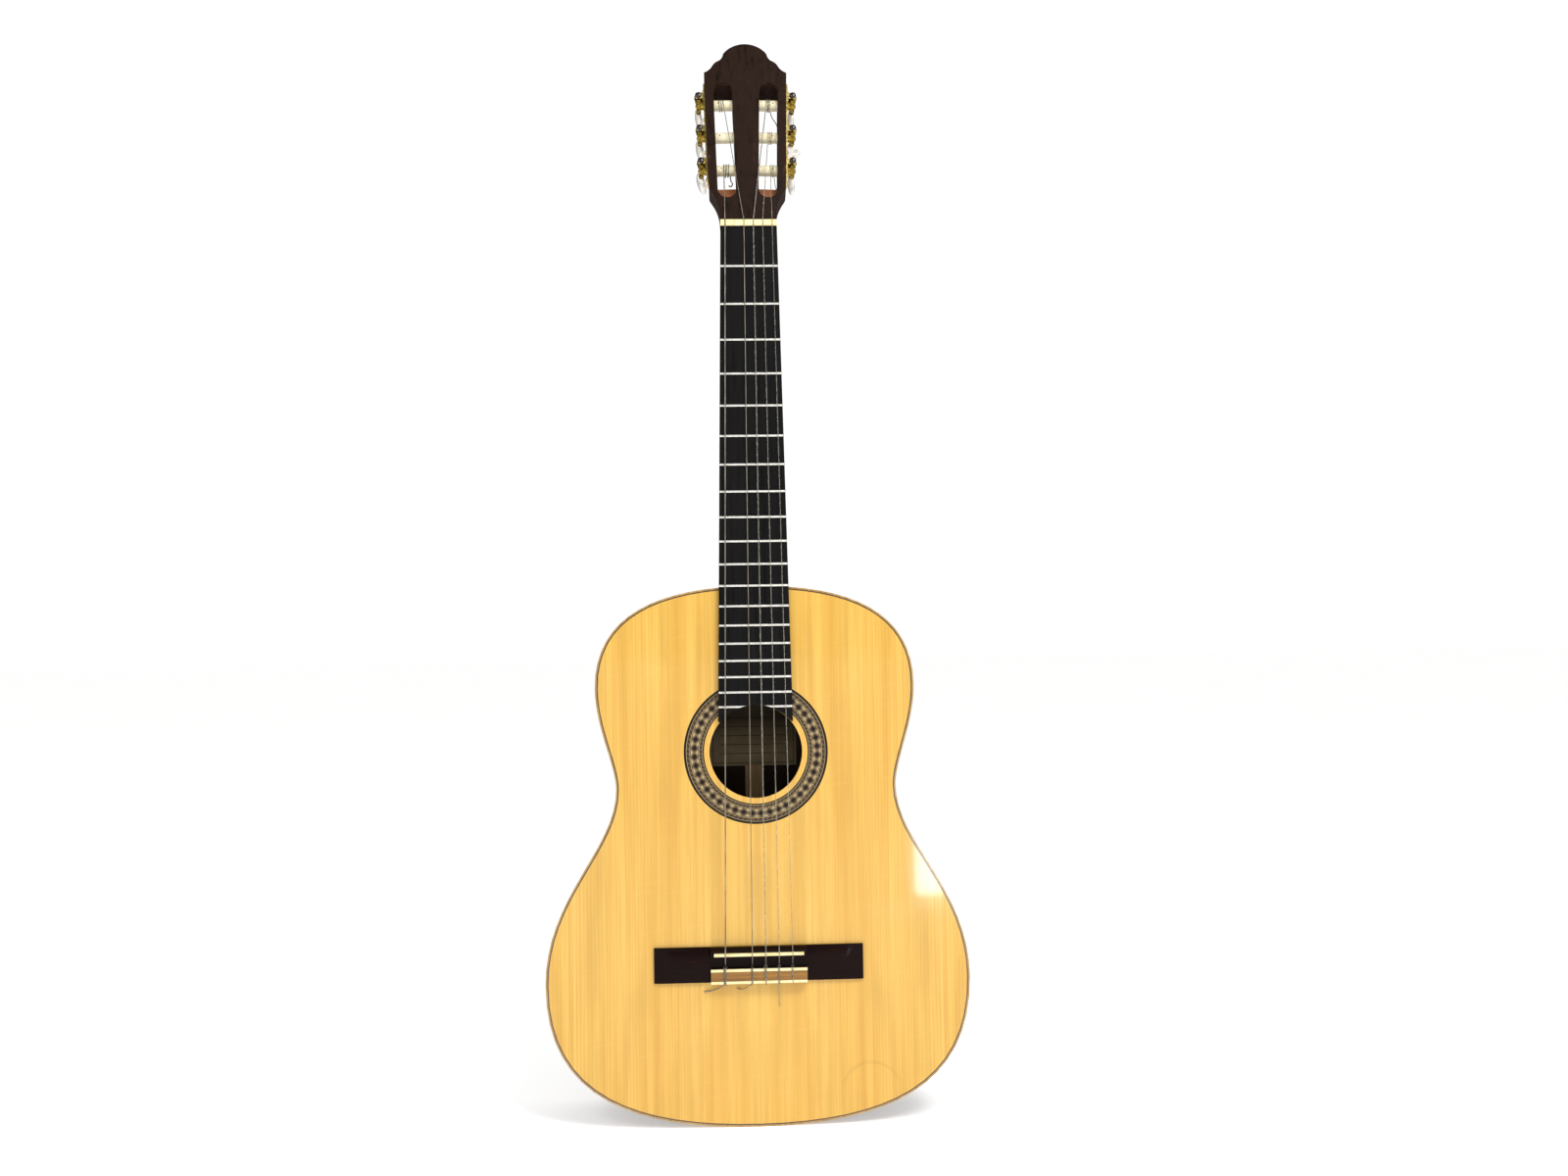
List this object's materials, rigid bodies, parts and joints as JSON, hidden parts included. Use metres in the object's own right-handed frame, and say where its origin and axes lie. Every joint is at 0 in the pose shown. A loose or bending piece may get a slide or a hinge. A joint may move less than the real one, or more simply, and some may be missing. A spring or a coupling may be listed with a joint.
{
  "type": "classical guitar",
  "caption": "Nylon-string guitar with a slotted head, six worm-driven tuners, nineteen frets, a mosaic rosette and a tied bridge; the fifth string is off.",
  "frame": {"origin": "centre of the bounding box in X and Y, at the lowest point of the tail", "axes": "+Z along the neck towards the head, +X to the right seen from the front, the soundboard facing -Y"},
  "size_m": [0.378, 0.1084, 0.9932],
  "materials": {
    "spruce_top": "gloss varnish over straight-grained spruce",
    "back_wood": "gloss varnish",
    "maple_strip": "gloss varnish",
    "brace_wood": "bare sanded wood",
    "binding": "gloss varnish",
    "purfling": "gloss varnish",
    "neck_wood": "satin varnish",
    "head_veneer": "satin dark rosewood",
    "fingerboard_wood": "satin near-black",
    "fret_metal": "polished",
    "bone": "polished bone",
    "rosette_mosaic": "mosaic of dyed woods under varnish",
    "paper_label": "matt",
    "bridge_wood": "satin rosewood",
    "nylon": "clear nylon",
    "wound_string": "silver-wound",
    "gilt_plate": "polished gilt",
    "roller_ivory": "gloss",
    "gear_brass": "aged gilt",
    "worm_metal": "aged, dark at the cap",
    "pearl_button": "pearl"
  },
  "bodies": {
    "root": {"soundboard": "spruce_top", "back_panels": "back_wood", "back_inlay": "maple_strip", "back_centre_strip": "brace_wood", "side_left": "back_wood", "side_right": "back_wood", "end_graft": "maple_strip", "tail_block": "brace_wood", "top_linings": "brace_wood", "back_linings": "brace_wood", "top_binding": "binding", "top_purfling": "purfling", "back_binding": "binding", "harmonic_bars": "brace_wood", "fan_braces": "brace_wood", "back_braces": "brace_wood", "neck": "neck_wood", "heel_cap": "head_veneer", "headstock": "neck_wood", "head_plate": "head_veneer", "fingerboard": "fingerboard_wood", "frets": "fret_metal", "nut": "bone", "rosette": "rosette_mosaic", "label": "paper_label", "bridge": "bridge_wood", "saddle": "bone", "tie_block_strips": "bone", "string_1": "nylon", "string_2": "nylon", "string_3": "nylon", "string_4": "wound_string", "string_6": "wound_string", "tuner_plate_left": "gilt_plate", "tuner_plate_right": "gilt_plate", "tuner_screws": "gilt_plate"},
    "knob_1": {"button_1": "pearl_button", "worm_1": "worm_metal"},
    "string_roller_1": {"roller_1": "roller_ivory", "gear_1": "gear_brass"},
    "knob_2": {"button_2": "pearl_button", "worm_2": "worm_metal"},
    "string_roller_2": {"roller_2": "roller_ivory", "gear_2": "gear_brass"},
    "knob_3": {"button_3": "pearl_button", "worm_3": "worm_metal"},
    "string_roller_3": {"roller_3": "roller_ivory", "gear_3": "gear_brass"},
    "knob_4": {"button_4": "pearl_button", "worm_4": "worm_metal"},
    "string_roller_4": {"roller_4": "roller_ivory", "gear_4": "gear_brass"},
    "knob_5": {"button_5": "pearl_button", "worm_5": "worm_metal"},
    "string_roller_5": {"roller_5": "roller_ivory", "gear_5": "gear_brass"},
    "knob_6": {"button_6": "pearl_button", "worm_6": "worm_metal"},
    "string_roller_6": {"roller_6": "roller_ivory", "gear_6": "gear_brass"}
  },
  "joints": [
    {"name": "knob_1_turn", "type": "hinge", "parent": "root", "child": "knob_1", "pos_m": [0.04231, -0.01665, 0.87146], "axis": [0, -0.9659, 0.2588], "continuous": true},
    {"name": "roller_1_turn", "type": "hinge", "parent": "root", "child": "string_roller_1", "pos_m": [0.03599, -0.01876, 0.8636], "axis": [0.9997, -0.0068, -0.0253], "continuous": true},
    {"name": "knob_2_turn", "type": "hinge", "parent": "root", "child": "knob_2", "pos_m": [0.04322, -0.0076, 0.90525], "axis": [0, -0.9659, 0.2588], "continuous": true},
    {"name": "roller_2_turn", "type": "hinge", "parent": "root", "child": "string_roller_2", "pos_m": [0.03691, -0.0097, 0.89739], "axis": [0.9997, -0.0068, -0.0253], "continuous": true},
    {"name": "knob_3_turn", "type": "hinge", "parent": "root", "child": "knob_3", "pos_m": [0.04414, 0.00146, 0.93905], "axis": [0, -0.9659, 0.2588], "continuous": true},
    {"name": "roller_3_turn", "type": "hinge", "parent": "root", "child": "string_roller_3", "pos_m": [0.03782, -0.00065, 0.93119], "axis": [0.9997, -0.0068, -0.0253], "continuous": true},
    {"name": "knob_4_turn", "type": "hinge", "parent": "root", "child": "knob_4", "pos_m": [-0.04414, 0.00146, 0.93905], "axis": [0, -0.9659, 0.2588], "continuous": true},
    {"name": "roller_4_turn", "type": "hinge", "parent": "root", "child": "string_roller_4", "pos_m": [-0.03782, -0.00065, 0.93119], "axis": [-0.9997, -0.0068, -0.0253], "continuous": true},
    {"name": "knob_5_turn", "type": "hinge", "parent": "root", "child": "knob_5", "pos_m": [-0.04322, -0.0076, 0.90525], "axis": [0, -0.9659, 0.2588], "continuous": true},
    {"name": "roller_5_turn", "type": "hinge", "parent": "root", "child": "string_roller_5", "pos_m": [-0.03691, -0.0097, 0.89739], "axis": [-0.9997, -0.0068, -0.0253], "continuous": true},
    {"name": "knob_6_turn", "type": "hinge", "parent": "root", "child": "knob_6", "pos_m": [-0.04231, -0.01665, 0.87146], "axis": [0, -0.9659, 0.2588], "continuous": true},
    {"name": "roller_6_turn", "type": "hinge", "parent": "root", "child": "string_roller_6", "pos_m": [-0.03599, -0.01876, 0.8636], "axis": [-0.9997, -0.0068, -0.0253], "continuous": true}
  ],
  "couplings": [
    {"joint": "roller_1_turn", "follows": "knob_1_turn", "ratio": 0.071429},
    {"joint": "roller_2_turn", "follows": "knob_2_turn", "ratio": 0.071429},
    {"joint": "roller_3_turn", "follows": "knob_3_turn", "ratio": 0.071429},
    {"joint": "roller_4_turn", "follows": "knob_4_turn", "ratio": 0.071429},
    {"joint": "roller_5_turn", "follows": "knob_5_turn", "ratio": 0.071429},
    {"joint": "roller_6_turn", "follows": "knob_6_turn", "ratio": 0.071429}
  ]
}
